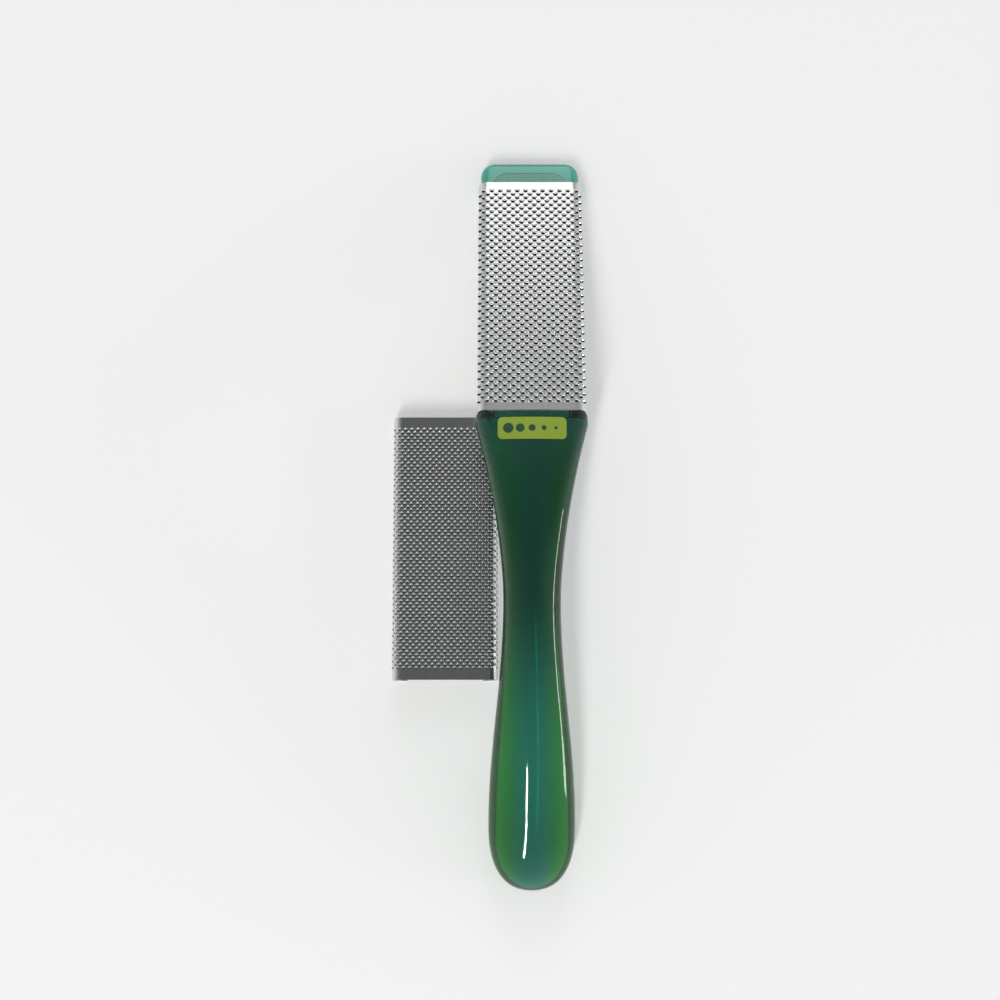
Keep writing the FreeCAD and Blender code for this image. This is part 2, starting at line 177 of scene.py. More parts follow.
@dataclass(frozen=True)
class ClearPlastic:
    """Clear acrylic, dyed turquoise and polished as moulded.

    To the eye it is a deep wet green-blue, with cyan rims, crisp highlights and faint flow marks. Its tint
    holds painted light and shade: painted light paling the bulb's end where it lies on the table, painted
    shade darkening the raised neck, and a painted green cast at the grip's sides for yellow light seen
    through them. The tints go by the place in the row frame: along it, and across it from the handle's
    middle line, which is given in metres.
    """

    middle_line: float
    dye: str = "#00BEB2"
    dye_density: float = 255.0
    # Painted light and shade along the handle: the bulb's end and the tip painted paler, the raised neck
    # painted darker.
    end_tint_painted_light: str = "#98FFEC"
    neck_tint_painted_shade: str = "#457F6C"
    # Painted green cast at the grip's sides, standing in for yellow light seen through the plastic.
    side_tint_painted_green_cast: str = "#E8FF86"
    rim_tint: str = "#58CFEA"
    # Where the painted shade is darkest along the handle, and how far it reaches before the painted light
    # takes over.
    painted_shade_middle: float = 3.0
    painted_shade_reach: float = 21.0
    painted_light_reach: float = 65.0
    core_half_width: float = 1.6
    side_half_width: float = 5.4
    green_until: float = -14.0
    green_gone: float = 22.0
    ior: float = 1.49
    clearness: float = 0.95
    rim_weight: float = 0.3
    rim_roughness: float = 0.2
    roughness: float = 0.03
    best_polish: float = 0.5
    worst_polish: float = 1.6
    flow_width: float = 4.0
    flow_stretch: float = 0.12
    flow_detail: float = 2.0
    flow_strength: float = 0.06
    flow_depth: float = 0.4

    def tint(self, tree: bpy.types.NodeTree, where: bpy.types.NodeSocket) -> bpy.types.NodeSocket:
        """Builds the body's tint with painted light and shade: painted shade darkest at the raised neck,
        which sees no lit table, painted light towards the ends, and a painted green cast at the grip's
        sides.

        Args:
            tree: the material's node tree.
            where: the place on the object, in metres.

        Returns:
            The tint.
        """
        axes = add_node(tree, "ShaderNodeSeparateXYZ", {0: where})
        fades = []
        for axis, middle, near, far in (
            ("Y", self.painted_shade_middle * MM, self.painted_shade_reach, self.painted_light_reach),
            ("X", self.middle_line, self.core_half_width, self.side_half_width),
        ):
            off = add_node(tree, "ShaderNodeMath", {0: axes.outputs[axis], 1: middle}, operation="SUBTRACT")
            away = add_node(tree, "ShaderNodeMath", {0: off.outputs[0]}, operation="ABSOLUTE")
            fade = add_node(
                tree,
                "ShaderNodeMapRange",
                {"Value": away.outputs[0], "From Min": near * MM, "From Max": far * MM},
                interpolation_type="SMOOTHSTEP",
            )
            fades.append(fade.outputs[0])
        along, aside = fades
        # Painted shade at the raised neck, fading to painted light towards the bulb's end and the tip.
        body = add_node(
            tree,
            "ShaderNodeMix",
            {MIX_SHARE: along, MIX_FIRST: to_linear(self.neck_tint_painted_shade), MIX_SECOND: to_linear(self.end_tint_painted_light)},
            data_type="RGBA",
        )
        # Painted green cast on the grip's sides, standing in for yellow light seen through them.
        green_cast_on_grip = add_node(
            tree,
            "ShaderNodeMapRange",
            {
                "Value": axes.outputs["Y"],
                "From Min": self.green_until * MM,
                "From Max": self.green_gone * MM,
                "To Min": 1.0,
                "To Max": 0.0,
            },
        )
        share = add_node(tree, "ShaderNodeMath", {0: aside, 1: green_cast_on_grip.outputs[0]}, operation="MULTIPLY")
        painted_light_tint = add_node(
            tree,
            "ShaderNodeMix",
            {
                MIX_SHARE: share.outputs[0],
                MIX_FIRST: body.outputs[MIX_COLOUR],
                MIX_SECOND: to_linear(self.side_tint_painted_green_cast),
            },
            data_type="RGBA",
            blend_type="MULTIPLY",
        )
        return painted_light_tint.outputs[MIX_COLOUR]

    def material(self) -> bpy.types.Material:
        """Builds the plastic.

        Returns:
            The material.
        """
        material, tree = new_material("acrylic_clear_turquoise_moulded_painted_light")
        where = add_node(tree, "ShaderNodeTexCoord")
        stretched = add_node(
            tree,
            "ShaderNodeMapping",
            {"Vector": where.outputs["Object"], "Scale": (1.0, self.flow_stretch, 1.0)},
        )
        flow = add_node(
            tree,
            "ShaderNodeTexNoise",
            {
                "Vector": stretched.outputs[0],
                "Scale": 1 / (self.flow_width * MM),
                "Detail": self.flow_detail,
            },
        )
        polish = add_node(
            tree,
            "ShaderNodeMapRange",
            {
                "Value": flow.outputs["Fac"],
                "To Min": self.roughness * self.best_polish,
                "To Max": self.roughness * self.worst_polish,
            },
        )
        waves = add_node(
            tree,
            "ShaderNodeBump",
            {
                "Height": flow.outputs["Fac"],
                "Strength": self.flow_strength,
                "Distance": self.flow_depth * MM,
            },
        )
        surface = add_node(
            tree,
            "ShaderNodeBsdfPrincipled",
            {
                "Base Color": self.tint(tree, where.outputs["Object"]),
                "Roughness": polish.outputs[0],
                "IOR": self.ior,
                "Transmission Weight": self.clearness,
                "Sheen Weight": self.rim_weight,
                "Sheen Roughness": self.rim_roughness,
                "Sheen Tint": to_linear(self.rim_tint),
                "Normal": waves.outputs[0],
            },
        )
        dye = add_node(
            tree,
            "ShaderNodeVolumeAbsorption",
            {"Color": to_linear(self.dye), "Density": self.dye_density},
        )
        add_node(
            tree,
            "ShaderNodeOutputMaterial",
            {"Surface": surface.outputs[0], "Volume": dye.outputs[0]},
        )
        return material


@dataclass(frozen=True)
class PrintInk:
    """Pad-printing ink: to the eye a thin satin film, a little uneven where the pad pressed."""

    name: str
    colour: str
    worn_colour: str
    roughness: float = 0.38
    blotch: float = 0.6
    blotch_detail: float = 4.0

    def material(self) -> bpy.types.Material:
        """Builds the ink.

        Returns:
            The material.
        """
        material, tree = new_material(self.name)
        where = add_node(tree, "ShaderNodeTexCoord")
        press = add_node(
            tree,
            "ShaderNodeTexNoise",
            {
                "Vector": where.outputs["Object"],
                "Scale": 1 / (self.blotch * MM),
                "Detail": self.blotch_detail,
            },
        )
        film = add_node(
            tree,
            "ShaderNodeMix",
            {
                MIX_SHARE: press.outputs["Fac"],
                MIX_FIRST: to_linear(self.colour),
                MIX_SECOND: to_linear(self.worn_colour),
            },
            data_type="RGBA",
        )
        surface = add_node(
            tree,
            "ShaderNodeBsdfPrincipled",
            {"Base Color": film.outputs[MIX_COLOUR], "Roughness": self.roughness},
        )
        add_node(tree, "ShaderNodeOutputMaterial", {"Surface": surface.outputs[0]})
        return material


@dataclass(frozen=True)
class RolledSteel:
    """Stainless steel sheet, cold rolled bright and punched.

    To the eye it is a pale neutral mirror, softened along its length by the rolling, with sparkling
    tooth backs.
    """

    colour: str = "#D9DAD8"
    roughness: float = 0.2
    brightest: float = 0.85
    dullest: float = 1.2
    grain_width: float = 0.35
    grain_stretch: float = 0.02
    grain_detail: float = 3.0
    grain_low: float = 0.3
    grain_high: float = 0.7
    line_strength: float = 0.008
    line_depth: float = 0.05

    def material(self) -> bpy.types.Material:
        """Builds the steel.

        Returns:
            The material.
        """
        material, tree = new_material("stainless_sheet_rolled_bright")
        sheet = add_node(tree, "ShaderNodeUVMap", uv_map="sheet")
        # The real rolling lines are finer than the render can show, so they are drawn this wide.
        scale = (1 / self.grain_width, self.grain_stretch / self.grain_width, 1.0)
        along = add_node(tree, "ShaderNodeMapping", {"Vector": sheet.outputs[0], "Scale": scale})
        grain = add_node(
            tree,
            "ShaderNodeTexNoise",
            {"Vector": along.outputs[0], "Scale": 1.0, "Detail": self.grain_detail},
        )
        dull = add_node(
            tree,
            "ShaderNodeMapRange",
            {
                "Value": grain.outputs["Fac"],
                "From Min": self.grain_low,
                "From Max": self.grain_high,
                "To Min": self.roughness * self.brightest,
                "To Max": self.roughness * self.dullest,
            },
        )
        lines = add_node(
            tree,
            "ShaderNodeBump",
            {
                "Height": grain.outputs["Fac"],
                "Strength": self.line_strength,
                "Distance": self.line_depth * MM,
            },
        )
        surface = add_node(
            tree,
            "ShaderNodeBsdfPrincipled",
            {
                "Base Color": to_linear(self.colour),
                "Metallic": 1.0,
                "Roughness": dull.outputs[0],
                "Normal": lines.outputs[0],
            },
        )
        add_node(tree, "ShaderNodeOutputMaterial", {"Surface": surface.outputs[0]})
        return material


@dataclass(frozen=True)
class PunchedMouthPaintedShade:
    """Stainless steel, torn by the punch and rough, with a painted shade: dark hollows under the teeth,
    standing in for the shade in the punched holes.
    """

    # Painted shade: darker than the steel's own colour, for the shade inside the holes.
    colour: str = "#4A4A48"
    roughness: float = 0.55
    roughness_spread: float = 0.15
    tears_per_mm: float = 9.0
    tear_detail: float = 2.0

    def material(self) -> bpy.types.Material:
        """Builds the torn steel.

        Returns:
            The material.
        """
        material, tree = new_material("stainless_punched_mouth_painted_shade")
        sheet = add_node(tree, "ShaderNodeUVMap", uv_map="sheet")
        tear = add_node(
            tree,
            "ShaderNodeTexNoise",
            {"Vector": sheet.outputs[0], "Scale": self.tears_per_mm, "Detail": self.tear_detail},
        )
        dull = add_node(
            tree,
            "ShaderNodeMapRange",
            {
                "Value": tear.outputs["Fac"],
                "To Min": self.roughness - self.roughness_spread,
                "To Max": self.roughness + self.roughness_spread,
            },
        )
        surface = add_node(
            tree,
            "ShaderNodeBsdfPrincipled",
            {"Base Color": to_linear(self.colour), "Metallic": 1.0, "Roughness": dull.outputs[0]},
        )
        add_node(tree, "ShaderNodeOutputMaterial", {"Surface": surface.outputs[0]})
        return material


@dataclass(frozen=True)
class PlateBlank:
    """The folded sheet that both rasp plates start from."""

    length: float = 60.0
    width: float = 24.0
    depth: float = 5.6
    gauge: float = 0.4
    fold_radius: float = 2.0
    lip_reach: float = 3.4
    field_girth: float = 25.7
    fold_steps: int = 8

    @property
    def flat(self) -> float:
        """Half the width of the flat face."""
        return self.width / 2 - self.fold_radius

    @property
    def fold(self) -> float:
        """Length of sheet in one fold."""
        return self.fold_radius * math.pi / 2

    @property
    def wall(self) -> float:
        """Height of the straight part of a side."""
        return self.depth - 2 * self.fold_radius

    @property
    def half_girth(self) -> float:
        """Length of sheet from the middle of the face to the edge of a lip."""
        return self.flat + 2 * self.fold + self.wall + self.lip_reach - self.fold_radius

    def on_sheet(self, girth: float, height: float) -> tuple[float, float]:
        """Finds a point of the folded section.

        Args:
            girth: distance along the sheet from the middle of the face, negative to the left.
            height: distance out of the sheet's outer face.

        Returns:
            The point's X and Z.
        """
        side = -1.0 if girth < 0 else 1.0
        run = abs(girth)
        reach = self.fold_radius + height
        top = self.depth / 2 - self.fold_radius
        if run <= self.flat:
            return girth, self.depth / 2 + height
        run -= self.flat
        if run <= self.fold:
            turn = run / self.fold_radius
            return side * (self.flat + reach * math.sin(turn)), top + reach * math.cos(turn)
        run -= self.fold
        if run <= self.wall:
            return side * (self.width / 2 + height), top - run
        run -= self.wall
        if run <= self.fold:
            turn = run / self.fold_radius
            return side * (self.flat + reach * math.cos(turn)), -top - reach * math.sin(turn)
        run -= self.fold
        return side * (self.flat - run), -self.depth / 2 - height

    def side_lines(self) -> list[float]:
        """Lists the lines along one side, from the tooth field to the lip's edge.

        Returns:
            The girth of each line.
        """
        fold_end = self.flat + self.fold
        second = fold_end + self.wall
        lines = [fold_end, fold_end + self.wall / 2]
        lines += [second + self.fold * step / self.fold_steps for step in range(self.fold_steps + 1)]
        return lines + [self.half_girth]


@dataclass(frozen=True)
class Teeth:
    """One grade of punched teeth: how many across and along, how high, and how much end stays bare."""

    across: int
    rows: int
    rise: float
    end_margin: float


class Grade(Enum):
    """The grades that the set comes in."""

    COARSE = Teeth(across=13, rows=58, rise=0.46, end_margin=1.9)
    FINE = Teeth(across=18, rows=77, rise=0.34, end_margin=2.4)


@dataclass
class RaspPlate:
    """A rasp plate: the folded sheet with its teeth, each an arch with a mouth on the handle side, painted
    dark as shade.

    A tooth's brick of the unrolled sheet is a pitch wide and a row long. bump_share is a part of the
    pitch, pit_share of the arch's reach, and the other shares of the row. The profile gives each ring of
    the arch as its part of the outline and of the rise.
    """

    node: str
    body: str
    grade: Grade
    blank: PlateBlank
    bump_share: float = 0.335
    back_share: float = 0.4
    lip_share: float = 0.28
    centre_share: float = 0.09
    dent_share: float = 0.15
    pit_share: float = 0.1
    pit_depth: float = 0.3
    dent_rise: float = 0.16
    foot_angle: float = -48.0
    back_steps: int = 8
    sharp_angle: float = 42.0
    profile: tuple[tuple[float, float], ...] = ((1.0, 0.0), (0.8, 0.46), (0.45, 0.86))
    skin: Skin = field(default_factory=Skin)
    corners: dict[tuple[int, int, float], int] = field(default_factory=dict)
    unrolled: list[tuple[float, float]] = field(default_factory=list)
    pitch: float = field(init=False)
    row: float = field(init=False)
    side_count: int = field(init=False)
    u_lines: list[float] = field(init=False)
    v_lines: list[float] = field(init=False)

    def __post_init__(self) -> None:
        """Works out the lines that the unrolled sheet is divided by, across and along."""
        blank, teeth = self.blank, self.grade.value
        self.pitch = blank.field_girth / teeth.across
        self.row = (blank.length - 2 * teeth.end_margin) / teeth.rows
        columns, rows = range(BRICK_ACROSS * teeth.across + 1), range(BRICK_ALONG * teeth.rows + 1)
        field_lines = [i * self.pitch / BRICK_ACROSS - blank.field_girth / 2 for i in columns]
        right = blank.side_lines()
        self.side_count = len(right)
        self.u_lines = [-u for u in reversed(right)] + field_lines + right
        field_rows = [teeth.end_margin + j * self.row / BRICK_ALONG for j in rows]
        self.v_lines = [0.0] + field_rows + [blank.length]

    def build(self, place: Matrix, finishes: list[bpy.types.Material]) -> bpy.types.Object:
        """Makes the plate and sets it on its body.

        Args:
            place: where the plate's frame lies: the middle of its thickness, at its handle end.
            finishes: the sheet's material and the mouths' painted shade.

        Returns:
            The finished piece.
        """
        self.cover_field()
        self.cover_plain()
        self.close_edges()
        piece = self.skin.as_object(f"{self.node}_dressed", place, self.sharp_angle)
        self.unroll(piece)
        for finish in finishes:
            piece.data.materials.append(finish)
        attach(piece, self.body)
        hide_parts(self.node)
        return piece

    def put(self, girth: float, along: float, height: float) -> int:
        """Adds a point of the sheet and keeps its unrolled place.

        Args:
            girth: distance along the sheet from the middle of the face.
            along: distance from the handle end.
            height: distance out of the sheet's outer face.

        Returns:
            The point's number.
        """
        x, z = self.blank.on_sheet(girth, height)
        self.unrolled.append((girth, along))
        return self.skin.point(x, along, z)

    def corner(self, i: int, j: int, height: float = 0.0) -> int:
        """Finds the point where two lines of the sheet cross, and adds it if it is new.

        Args:
            i: number of the line across.
            j: number of the line along.
            height: distance out of the sheet's outer face.

        Returns:
            The point's number.
        """
        key = (i, j, height)
        if key not in self.corners:
            self.corners[key] = self.put(self.u_lines[i], self.v_lines[j], height)
        return self.corners[key]

    def brick(self, i: int, j: int, height: float = 0.0) -> list[int]:
        """Lists the points round one brick, anticlockwise from its lower right.

        Args:
            i: number of the brick's first line across.
            j: number of the brick's first line along.
            height: distance out of the sheet's outer face.

        Returns:
            The points' numbers.
        """
        spots = [(BRICK_ACROSS, along) for along in range(BRICK_ALONG)]
        spots += [(across, BRICK_ALONG) for across in range(BRICK_ACROSS, 0, -1)]
        spots += [(0, along) for along in range(BRICK_ALONG, 0, -1)]
        spots += [(across, 0) for across in range(BRICK_ACROSS)]
        return [self.corner(i + across, j + along, height) for across, along in spots]

    def middle(self, i: int, j: int) -> tuple[float, float]:
        """Gives the girth and the length at the middle of the brick that starts at a crossing."""
        return self.u_lines[i + BRICK_ACROSS // 2], self.v_lines[j + BRICK_ALONG // 2]

    def cover_field(self) -> None:
        """Fills the field with bricks, every other row set off by half a brick between plain halves."""
        teeth = self.grade.value
        first, last = self.side_count, self.side_count + BRICK_ACROSS * teeth.across
        for number in range(teeth.rows):
            j = 1 + BRICK_ALONG * number
            offset = BRICK_ACROSS // 2 * (number % 2)
            self.plain_cells(range(first, first + offset), range(j, j + BRICK_ALONG))
            for i in range(first + offset, last - offset, BRICK_ACROSS):
                self.tooth(i, j)
                self.dent(i, j)
            self.plain_cells(range(last - offset, last), range(j, j + BRICK_ALONG))

    def tooth(self, i: int, j: int) -> None:
        """Builds one tooth in the brick that starts at a crossing of lines.

        Args:
            i: number of the brick's first line across.
            j: number of the brick's first line along.
        """
        rise = self.grade.value.rise
        foot = math.radians(self.foot_angle)
        half_width = self.bump_share * self.pitch
        back = self.back_share * self.row
        middle, along = self.middle(i, j)
        mouth = along + self.centre_share * self.row + back * math.sin(foot)
        turn = (math.pi - 2 * foot) / self.back_steps
        angles = [foot + step * turn for step in range(self.back_steps + 1)]
        outline = [(half_width * math.cos(a), back * (math.sin(a) - math.sin(foot))) for a in angles]
        rings = [
            [self.put(middle + u * share, mouth + v * share, height * rise) for u, v in outline]
            for share, height in self.profile
        ]
        crest = self.put(middle, mouth, rise)
        half_mouth, lip = half_width * math.cos(foot), self.lip_share * self.row
        edge = [
            self.put(middle - half_mouth * math.cos(a), mouth - lip * math.sin(a), 0.0)
            for a in (math.pi / 4, math.pi / 2, 3 * math.pi / 4)
        ]
        # The arch's foot and the mouth's edge have as many points as the brick round them.
        self.skin.bridge(self.brick(i, j), rings[0] + edge)
        for lower, upper in zip(rings, rings[1:]):
            self.skin.bridge(lower, upper, closed=False)
        for a, b in zip(rings[-1], rings[-1][1:]):
            self.skin.face(a, b, crest)
        # The mouth and pit faces take the painted shade of the second finish.
        pit = self.put(middle, mouth + self.pit_share * back, -self.pit_depth)
        arch = [ring[0] for ring in rings] + [crest] + [ring[-1] for ring in reversed(rings)]
        for line in (arch, [rings[0][-1], *edge, rings[0][0]]):
            for a, b in zip(line, line[1:]):
                self.skin.face(a, b, pit, finish=1)

    def dent(self, i: int, j: int) -> None:
        """Presses one tooth's hollow into the sheet's inner face.

        Args:
            i: number of the brick's first line across.
            j: number of the brick's first line along.
        """
        inner = -self.blank.gauge
        ring = self.brick(i, j, inner)
        middle, along = self.middle(i, j)
        hollow = self.put(middle, along + self.dent_share * self.row, inner + self.dent_rise)
        for a, b in zip(ring, ring[1:] + ring[:1]):
            self.skin.face(b, a, hollow)

    def plain_cells(self, columns: range, rows: range) -> None:
        """Covers a block of cells with plain quads, on the sheet's outer and inner face.

        Args:
            columns: numbers of the cells across.
            rows: numbers of the cells along.
        """
        for i in columns:
            for j in rows:
                block = [(i, j), (i + 1, j), (i + 1, j + 1), (i, j + 1)]
                self.skin.face(*(self.corner(*spot) for spot in block))
                self.skin.face(*(self.corner(*spot, -self.blank.gauge) for spot in reversed(block)))

    def cover_plain(self) -> None:
        """Covers the bare ends, the sides and the lips."""
        last_i, last_j = len(self.u_lines) - 1, len(self.v_lines) - 1
        for end in (0, last_j - 1):
            self.plain_cells(range(last_i), range(end, end + 1))
        for side in (range(self.side_count), range(last_i - self.side_count, last_i)):
            self.plain_cells(side, range(1, last_j - 1))

    def close_edges(self) -> None:
        """Closes the sheet's cut edges, once round its two ends and its lips."""
        last_i, last_j = len(self.u_lines) - 1, len(self.v_lines) - 1
        rim = [(i, 0) for i in range(last_i)] + [(last_i, j) for j in range(last_j)]
        rim += [(i, last_j) for i in range(last_i, 0, -1)] + [(0, j) for j in range(last_j, 0, -1)]
        inner = [self.corner(i, j, -self.blank.gauge) for i, j in rim]
        self.skin.bridge(inner, [self.corner(i, j) for i, j in rim])

    def unroll(self, piece: bpy.types.Object) -> None:
        """Keeps each point's place on the flat sheet, in millimetres, as a UV map.

        Args:
            piece: the plate, with its points in the order that they were put.
        """
        layer = piece.data.uv_layers.new(name="sheet")
        for loop in piece.data.loops:
            layer.data[loop.index].uv = self.unrolled[loop.vertex_index]


@dataclass
class Handle:
    """The one-piece handle: a paddle head with a raised flat back, shoulder, flare, neck and bulb.

    The shoulder, the neck and the bulb are sections, each with its width, thickness and crown.
    """

    blank: PlateBlank
    slide_clearance: float = 0.15
    seat_gap: float = 0.15
    edge_relief: float = 0.3
    edge_limit: float = 0.9
    tip_reach: float = 6.5
    tip_corner: float = 3.3
    head_root: float = 3.0
    land_proud: float = 0.2
    land_setback: float = 1.6
    land_edge: float = 0.4
    shoulder: Triple = (24.8, 7.2, 0.4)
    shoulder_edge: float = 0.4
    collar_length: float = 2.5
    flare_length: float = 38.5
    flare_power: float = 1.7
    neck: Triple = (12.6, 9.6, 0.5)
    swell_length: float = 50.5
    bulb: Triple = (19.2, 12.6, 1.7)
    bulb_end_length: float = 14.4
    end_power: float = 2.4
    bend_radius: float = 70.0
    bend_angle: float = 30.0
    side_steps: int = 24
    crown_steps: int = 18
    shoulder_steps: int = 5
    length_steps: int = 88
    end_steps: int = 22
    corner_steps: int = 10
    rim_steps: int = 8
    smooth_angle: float = 30.0

    def place(self) -> Matrix:
        """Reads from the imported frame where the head's frame lies.

        Returns:
            The place, in metres.
        """
        joint = next(j for j in frame["joints"] if j["child"] == "coarse_plate")
        cosine, sine = joint["axis"][1], -joint["axis"][2]
        low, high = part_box("coarse_rasp_plate")
        half, far = self.blank.depth / 2 * MM, (self.seat_gap + self.blank.length) * MM
        y = low.y - self.seat_gap * MM * cosine + half * sine
        z = low.z + far * sine + half * cosine
        lean = Matrix.Rotation(-math.atan2(sine, cosine), 4, "X")
        return Matrix.Translation(((low.x + high.x) / 2, y, z)) @ lean

    def spine(self, station: float) -> Triple:
        """Follows the grip's centre line.

        Args:
            station: distance behind the shoulder along the line.

        Returns:
            The line's Y and Z there, and how far it has turned, in radians.
        """
        turn = min(station / self.bend_radius, math.radians(self.bend_angle))
        straight = station - turn * self.bend_radius
        y = -self.bend_radius * math.sin(turn) - straight * math.cos(turn)
        z = -self.bend_radius * (1 - math.cos(turn)) - straight * math.sin(turn)
        return y, z, turn

    def off_spine(self, station: float, x: float, up: float) -> Triple:
        """Finds a point of the head's frame that lies across and over the centre line at a station."""
        y, z, turn = self.spine(station)
        return x, y - up * math.sin(turn), z + up * math.cos(turn)

    def section(self, station: float) -> Triple:
        """Works out the grip's section.

        Args:
            station: distance behind the shoulder.

        Returns:
            The section's width, thickness and crown.
        """
        run = station - self.collar_length
        if run <= 0:
            return self.shoulder
        if run <= self.flare_length:
            taken = 1 - (1 - run / self.flare_length) ** self.flare_power
            return tuple(a + (b - a) * taken for a, b in zip(self.shoulder, self.neck))
        run -= self.flare_length
        if run <= self.swell_length:
            taken = (1 - math.cos(math.pi * run / self.swell_length)) / 2
            return tuple(a + (b - a) * taken for a, b in zip(self.neck, self.bulb))
        return self.bulb

    def arcs(self, sizes: Triple) -> tuple[float, float]:
        """Works out the two arcs of a crowned oval.

        Args:
            sizes: the oval's width, thickness and crown.

        Returns:
            The radius of its sides and of its top.
        """
        width, thickness, crown = sizes
        half = thickness / 2
        side = half - crown
        reach = width / 2 - side
        return side, (reach ** 2 + half ** 2 - side ** 2) / (2 * (half - side))

    def oval(self, sizes: Triple) -> list[tuple[float, float]]:
        """Draws a crowned oval.

        Args:
            sizes: its width, thickness and crown.

        Returns:
            Its points, anticlockwise from its right side.
        """
        width, thickness, _ = sizes
        side, top = self.arcs(sizes)
        reach, drop = width / 2 - side, top - thickness / 2
        turn = math.atan2(drop, reach)
        points = []
        for x, up, radius, first, last, steps in (
            (reach, 0.0, side, -turn, turn, self.side_steps),
            (0.0, -drop, top, turn, math.pi - turn, self.crown_steps),
            (-reach, 0.0, side, math.pi - turn, math.pi + turn, self.side_steps),
            (0.0, drop, top, math.pi + turn, 2 * math.pi - turn, self.crown_steps),
        ):
            for step in range(steps):
                angle = first + (last - first) * step / steps
                points.append((x + radius * math.cos(angle), up + radius * math.sin(angle)))
        return points

    def on_crown(self, x: float, station: float, lift: float) -> Triple:
        """Finds a point over the top of the grip.

        Args:
            x: distance from the middle.
            station: distance behind the shoulder.
            lift: height over the surface.

        Returns:
            The point in the head's frame.
        """
        sizes = self.section(station)
        _, thickness, _ = sizes
        _, top = self.arcs(sizes)
        up = thickness / 2 - top + math.sqrt(top ** 2 - x ** 2) + lift
        return self.off_spine(station, x, up)

    def ring(self, skin: Skin, station: float, sizes: Triple) -> list[int]:
        """Adds one section of the grip across its centre line and returns its points' numbers."""
        return [skin.point(*self.off_spine(station, x, up)) for x, up in self.oval(sizes)]

    def grip(self) -> Skin:
        """Builds the shoulder, flare, neck and bulb.

        Returns:
            The closed skin.
        """
        skin = Skin()
        rings = []
        for step in range(self.shoulder_steps + 1):
            angle = math.pi / 2 * step / self.shoulder_steps
            inset = self.shoulder_edge * (1 - math.sin(angle))
            width, thickness, crown = self.shoulder
            sizes = (width - 2 * inset, thickness - 2 * inset, crown)
            rings.append(self.ring(skin, self.shoulder_edge * (1 - math.cos(angle)), sizes))
        widest = self.collar_length + self.flare_length + self.swell_length
        run = widest - self.shoulder_edge
        for step in range(1, self.length_steps + 1):
            station = self.shoulder_edge + run * step / self.length_steps
            rings.append(self.ring(skin, station, self.section(station)))
        for step in range(1, self.end_steps):
            angle = math.pi / 2 * step / self.end_steps
            scale = math.cos(angle) ** (2 / self.end_power)
            station = widest + self.bulb_end_length * math.sin(angle) ** (2 / self.end_power)
            rings.append(self.ring(skin, station, tuple(size * scale for size in self.bulb)))
        for first, second in zip(rings, rings[1:]):
            skin.bridge(first, second)
        skin.face(*reversed(rings[0]))
        end = skin.point(*self.off_spine(widest + self.bulb_end_length, 0.0, 0.0))
        for a, b in zip(rings[-1], rings[-1][1:] + rings[-1][:1]):
            skin.face(a, b, end)
        return skin

    def paddle(self, width: float, reach: float, layers: list[tuple[float, float]]) -> Skin:
        """Builds a flat slab with the head's plan, as a stack of outlines.

        Args:
            width: the slab's width.
            reach: where its tip ends.
            layers: height and inset of each outline, from the lowest up.

        Returns:
            The closed skin.
        """
        skin = Skin()
        rings = []
        for height, inset in layers:
            half, tip, radius = width / 2 - inset, reach - inset, self.tip_corner - inset
            outline = [(-half, -self.head_root), (half, -self.head_root)]
            for side, first in ((1, 0.0), (-1, math.pi / 2)):
                for step in range(self.corner_steps + 1):
                    angle = first + math.pi / 2 * step / self.corner_steps
                    x = side * (half - radius) + radius * math.cos(angle)
                    outline.append((x, tip - radius + radius * math.sin(angle)))
            rings.append([skin.point(x, y, height) for x, y in outline])
        for first, second in zip(rings, rings[1:]):
            skin.bridge(first, second)
        skin.face(*reversed(rings[0]))
        skin.face(*rings[-1])
        return skin

    def core(self) -> Skin:
        """Builds the slab that the plate slides over, with round edges.

        Returns:
            The closed skin.
        """
        blank = self.blank
        width = blank.width - 2 * (blank.gauge + self.slide_clearance)
        half = blank.depth / 2 - blank.gauge - self.slide_clearance
        edge = min(blank.fold_radius - blank.gauge + self.edge_relief, self.edge_limit * half)
        curve = [math.pi / 2 * step / self.rim_steps for step in range(self.rim_steps + 1)]
        low = [(-half + edge * (1 - math.sin(a)), edge * (1 - math.cos(a))) for a in reversed(curve)]
        high = [(-height, inset) for height, inset in reversed(low)]
        return self.paddle(width, blank.length + self.tip_reach, low + high)

    def back(self) -> Skin:
        """Builds the flat back that stands between the plate's lips, with its edge eased.

        Returns:
            The closed skin.
        """
        blank = self.blank
        width = blank.width - 2 * (blank.lip_reach + self.slide_clearance)
        face = -blank.depth / 2 - self.land_proud
        layers = [(face, self.land_edge), (face + self.land_edge, 0.0), (0.0, 0.0)]
        return self.paddle(width, blank.length + self.tip_reach - self.land_setback, layers)

    def build(self, finish: bpy.types.Material) -> bpy.types.Object:
        """Makes the handle, joins its three skins to one and sets it on its body.

        Args:
            finish: the plastic.

        Returns:
            The finished piece.
        """
        place = self.place()
        piece = self.grip().as_object("handle_dressed", place, self.smooth_angle)
        head = [
            self.core().as_object("head_core", place, self.smooth_angle),
            self.back().as_object("head_back", place, self.smooth_angle),
        ]
        for other in head:
            joined = piece.modifiers.new(other.name, "BOOLEAN")
            joined.operation = "UNION"
            joined.solver = "EXACT"
            joined.object = other
        graph = bpy.context.evaluated_depsgraph_get()
        mesh = bpy.data.meshes.new_from_object(piece.evaluated_get(graph))
        piece.modifiers.clear()
        piece.data = mesh
        for other in head:
            bpy.data.objects.remove(other)
        mesh.name = piece.name
        mesh.shade_smooth()
        mesh.set_sharp_from_angle(angle=math.radians(self.smooth_angle))
        mesh.materials.clear()
        mesh.materials.append(finish)
        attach(piece, "handle")
        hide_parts("handle")
        return piece


